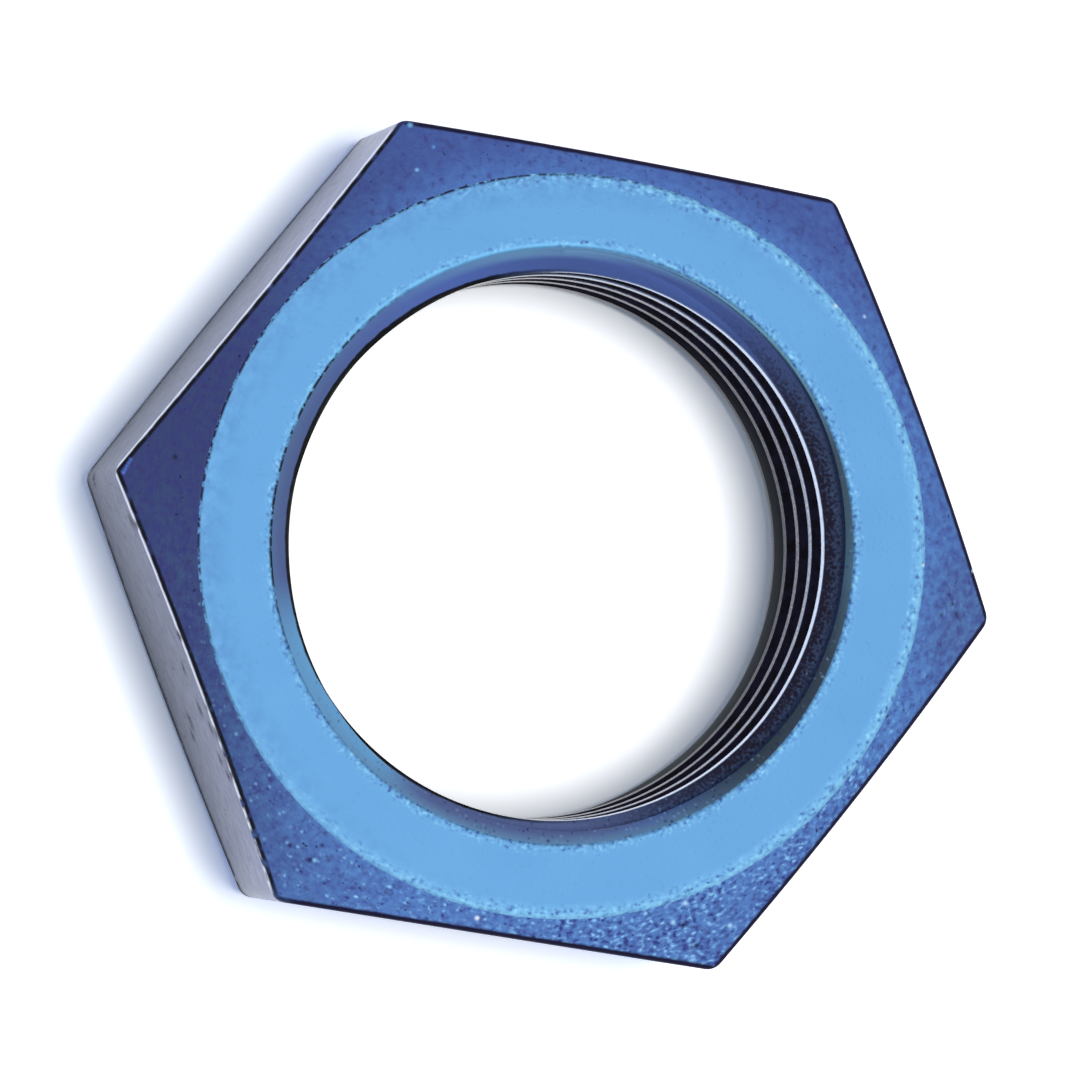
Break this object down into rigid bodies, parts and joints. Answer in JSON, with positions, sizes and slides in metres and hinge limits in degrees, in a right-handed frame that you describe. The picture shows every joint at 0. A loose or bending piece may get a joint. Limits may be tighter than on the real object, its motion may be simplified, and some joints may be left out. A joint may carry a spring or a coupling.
{
  "type": "bulkhead nut",
  "caption": "Thin hexagon bulkhead nut in blue anodised aluminium, chamfered on both ends, with a large countersunk threaded bore.",
  "frame": {"origin": "centre of the lower bearing face, on the thread's axis", "axes": "+Z along the thread's axis, out of the upper face; a corner of the hexagon on +X, flats facing +Y and -Y"},
  "size_m": [0.0292, 0.0254, 0.0083],
  "materials": {
    "blue_anodised_aluminium": "satin blue anodised, light on the bearing faces and deeper on the corner chamfers"
  },
  "bodies": {
    "root": {"nut": "blue_anodised_aluminium"}
  },
  "joints": []
}
